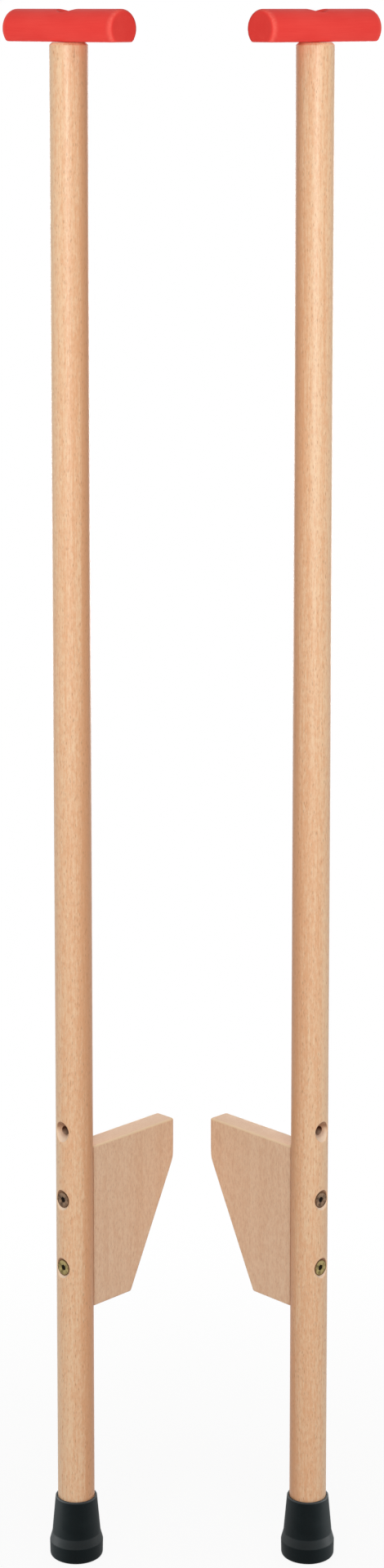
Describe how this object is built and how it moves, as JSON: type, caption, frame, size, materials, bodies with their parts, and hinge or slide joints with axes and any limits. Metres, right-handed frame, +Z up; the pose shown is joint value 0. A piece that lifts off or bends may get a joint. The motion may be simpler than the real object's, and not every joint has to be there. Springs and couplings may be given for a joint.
{
  "type": "pair of wooden stilts",
  "caption": "Pair of round wooden walking stilts with red cross handles, bolted foot steps that can be set higher, and black rubber feet.",
  "frame": {"origin": "on the ground, at the centre of the pair's footprint", "axes": "+Z up along the poles, +X from the left stilt to the right one, +Y away from the front, the way the steps point"},
  "size_m": [0.345, 0.1558, 1.4724],
  "materials": {
    "beech_pole": "clear satin varnish on beech",
    "beech_step": "smooth sanded beech",
    "red_paint": "satin red paint on wood",
    "black_rubber": "matt moulded rubber",
    "yellow_zinc": "yellow passivated zinc plate on steel",
    "bright_zinc": "bright zinc plate on steel",
    "plain_steel": "plain pressed steel"
  },
  "bodies": {
    "left_stilt": {"left_pole": "beech_pole", "left_handle": "red_paint", "left_handle_bolt": "yellow_zinc", "left_handle_insert": "bright_zinc", "left_ferrule": "black_rubber", "left_ferrule_washer": "plain_steel"},
    "left_step": {"left_step": "beech_step", "left_lower_step_insert": "bright_zinc", "left_upper_step_insert": "bright_zinc"},
    "left_lower_bolt": {"left_lower_step_bolt": "yellow_zinc"},
    "left_upper_bolt": {"left_upper_step_bolt": "yellow_zinc"},
    "right_stilt": {"right_pole": "beech_pole", "right_handle": "red_paint", "right_handle_bolt": "yellow_zinc", "right_handle_insert": "bright_zinc", "right_ferrule": "black_rubber", "right_ferrule_washer": "plain_steel"},
    "right_step": {"right_step": "beech_step", "right_lower_step_insert": "bright_zinc", "right_upper_step_insert": "bright_zinc"},
    "right_lower_bolt": {"right_lower_step_bolt": "yellow_zinc"},
    "right_upper_bolt": {"right_upper_step_bolt": "yellow_zinc"}
  },
  "joints": [
    {"name": "right_stilt_lift", "type": "slide", "parent": "left_stilt", "child": "right_stilt", "axis": [0, 0, 1], "range_m": [0, 0.3]},
    {"name": "left_step_pull_off", "type": "slide", "parent": "left_stilt", "child": "left_step", "axis": [0.6947, 0.7193, 0], "range_m": [0, 0.02]},
    {"name": "left_lower_bolt_withdraw", "type": "slide", "parent": "left_stilt", "child": "left_lower_bolt", "axis": [-0.6947, -0.7193, 0], "range_m": [0, 0.055]},
    {"name": "left_upper_bolt_withdraw", "type": "slide", "parent": "left_stilt", "child": "left_upper_bolt", "axis": [-0.6947, -0.7193, 0], "range_m": [0, 0.055]},
    {"name": "right_step_pull_off", "type": "slide", "parent": "right_stilt", "child": "right_step", "axis": [-0.6947, 0.7193, 0], "range_m": [0, 0.02]},
    {"name": "right_lower_bolt_withdraw", "type": "slide", "parent": "right_stilt", "child": "right_lower_bolt", "axis": [0.6947, -0.7193, 0], "range_m": [0, 0.055]},
    {"name": "right_upper_bolt_withdraw", "type": "slide", "parent": "right_stilt", "child": "right_upper_bolt", "axis": [0.6947, -0.7193, 0], "range_m": [0, 0.055]}
  ]
}
